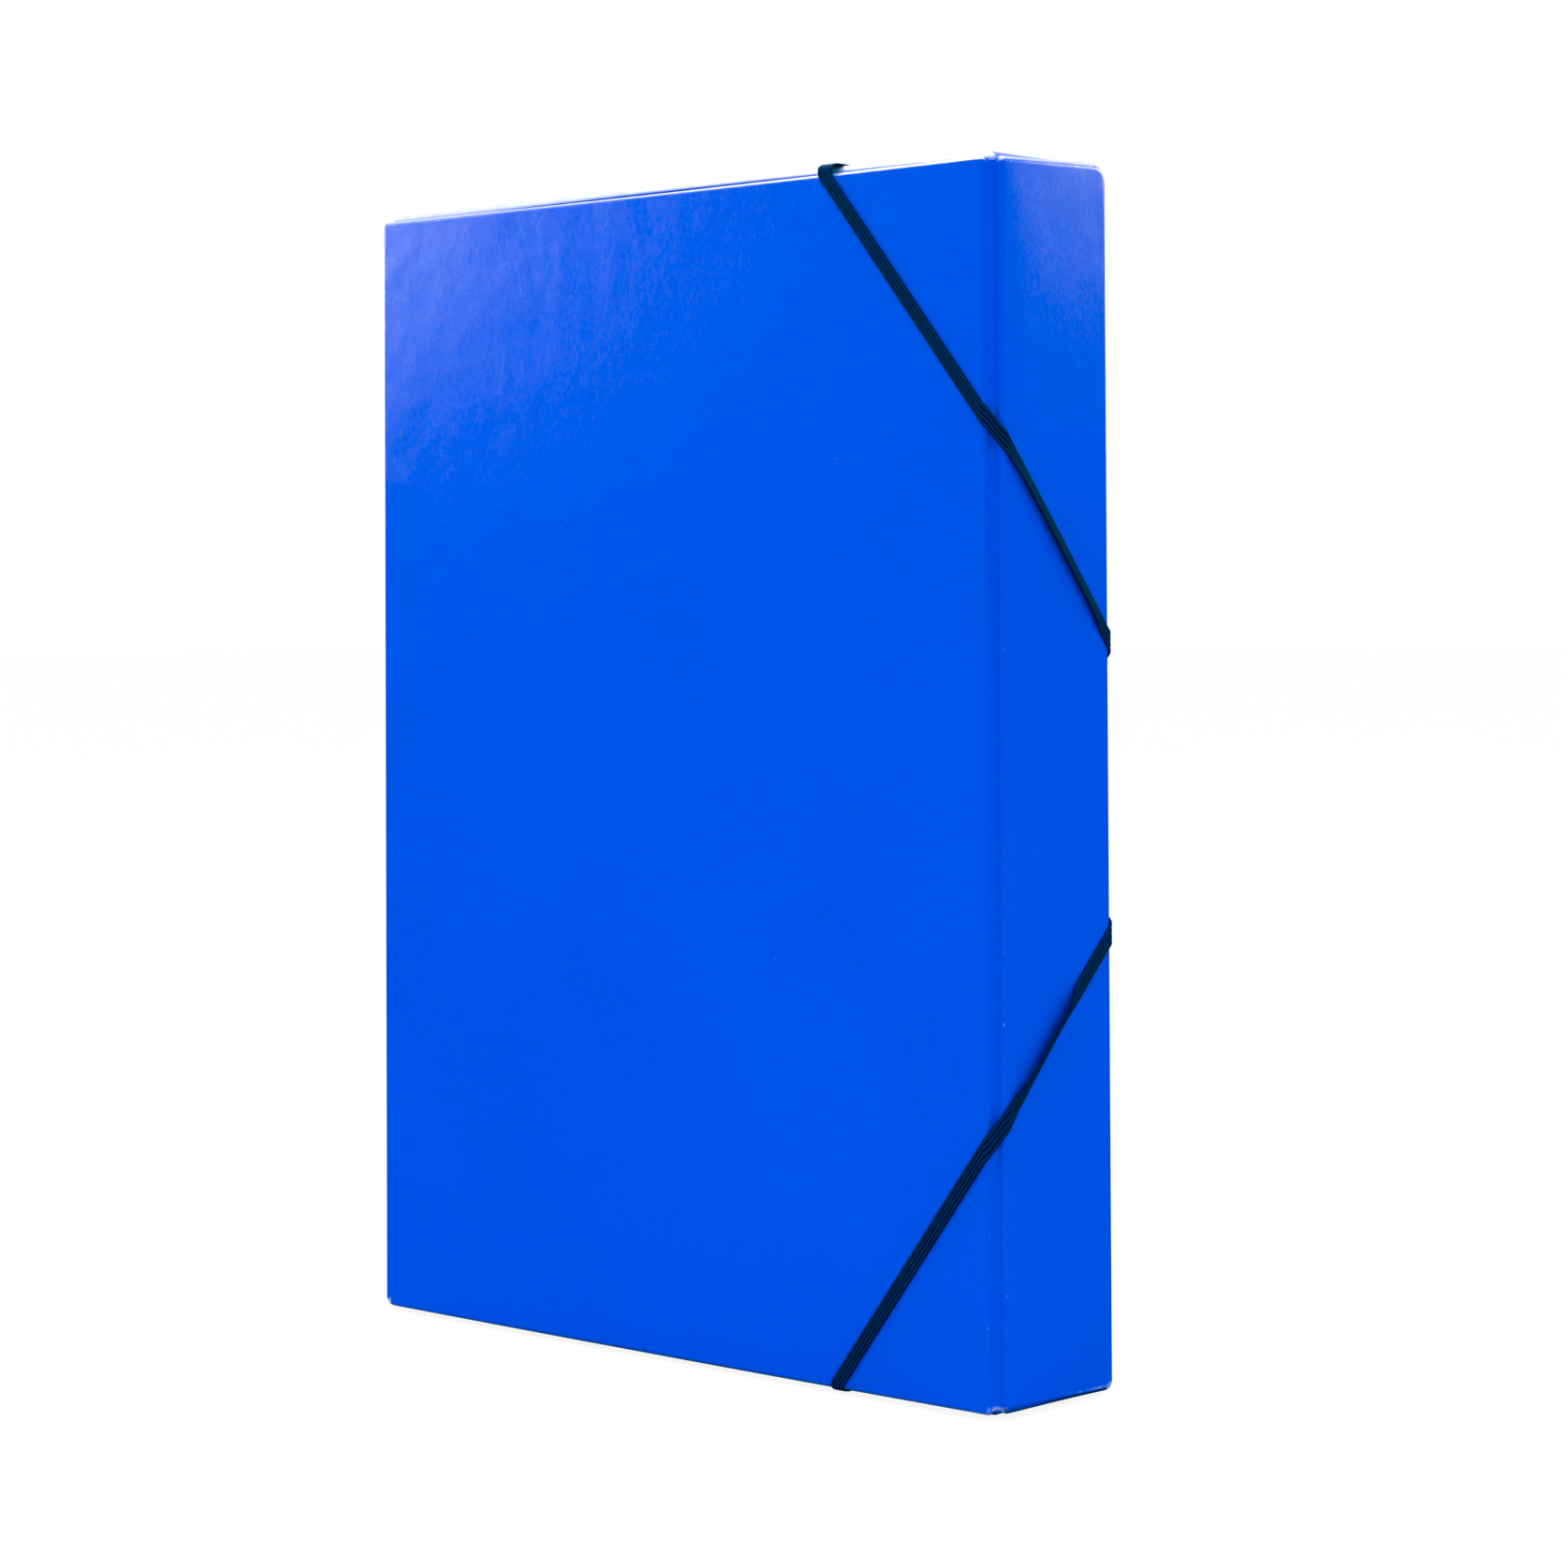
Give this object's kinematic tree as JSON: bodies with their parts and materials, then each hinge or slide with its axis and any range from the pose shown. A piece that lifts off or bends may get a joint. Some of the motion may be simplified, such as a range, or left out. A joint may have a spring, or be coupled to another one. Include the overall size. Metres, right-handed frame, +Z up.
{
  "type": "archival document box",
  "caption": "Upright rigid document box in covered board, with a hinged lid, a hinged fore-edge flap, an inner tray and flat elastic corner bands.",
  "frame": {"origin": "middle of the box's footprint, on the surface it stands on", "axes": "+X from the spine to the fore-edge, +Y from the lid to the back, +Z up"},
  "size_m": [0.2489, 0.0518, 0.3468],
  "materials": {
    "cover_paper": "gloss",
    "greyboard": "matte",
    "lining_paper": "matte",
    "elastic": "matte",
    "end_clip": "satin"
  },
  "bodies": {
    "tray": {"back_board": "greyboard", "back_cover_paper": "cover_paper", "spine_board": "greyboard", "spine_cover_paper": "cover_paper", "back_spine_hinge_paper": "cover_paper", "spine_lid_hinge_paper": "cover_paper", "spine_lid_hinge_lining": "cover_paper", "tray_floor_board": "greyboard", "tray_top_wall": "greyboard", "tray_bottom_wall": "greyboard", "tray_spine_wall": "greyboard", "tray_fore_edge_wall": "greyboard", "tray_wrap_paper": "cover_paper", "tray_wall_lining": "lining_paper", "tray_floor_lining": "lining_paper", "elastic_end_clips": "end_clip"},
    "lid": {"lid_board": "greyboard", "lid_cover_paper": "cover_paper", "lid_lining_paper": "lining_paper", "lid_flap_hinge_paper": "cover_paper", "lid_flap_hinge_lining": "cover_paper"},
    "flap": {"flap_board": "greyboard", "flap_cover_paper": "cover_paper", "flap_lining_paper": "lining_paper"},
    "upper_band": {"upper_elastic": "elastic"},
    "lower_band": {"lower_elastic": "elastic"}
  },
  "joints": [
    {"name": "lid_hinge", "type": "hinge", "parent": "tray", "child": "lid", "pos_m": [-0.1222, -0.0232, 0.1725], "axis": [0, 0, -1], "range_deg": [0, 179], "deforming": ["spine_lid_hinge_paper", "spine_lid_hinge_lining"]},
    {"name": "flap_hinge", "type": "hinge", "parent": "lid", "child": "flap", "pos_m": [0.1222, -0.0232, 0.1725], "axis": [0, 0, -1], "range_deg": [0, 90], "deforming": ["lid_flap_hinge_paper", "lid_flap_hinge_lining"]},
    {"name": "upper_band_release", "type": "slide", "parent": "tray", "child": "upper_band", "axis": [0, 1, 0], "range_m": [0, 0.0515], "deforming": ["upper_elastic"]},
    {"name": "lower_band_release", "type": "slide", "parent": "tray", "child": "lower_band", "axis": [0, 1, 0], "range_m": [0, 0.0515], "deforming": ["lower_elastic"]}
  ],
  "couplings": [
    {"joint": "upper_band_release", "follows": "flap_hinge", "m_per_rad": 0.0327},
    {"joint": "lower_band_release", "follows": "flap_hinge", "m_per_rad": 0.0327}
  ]
}
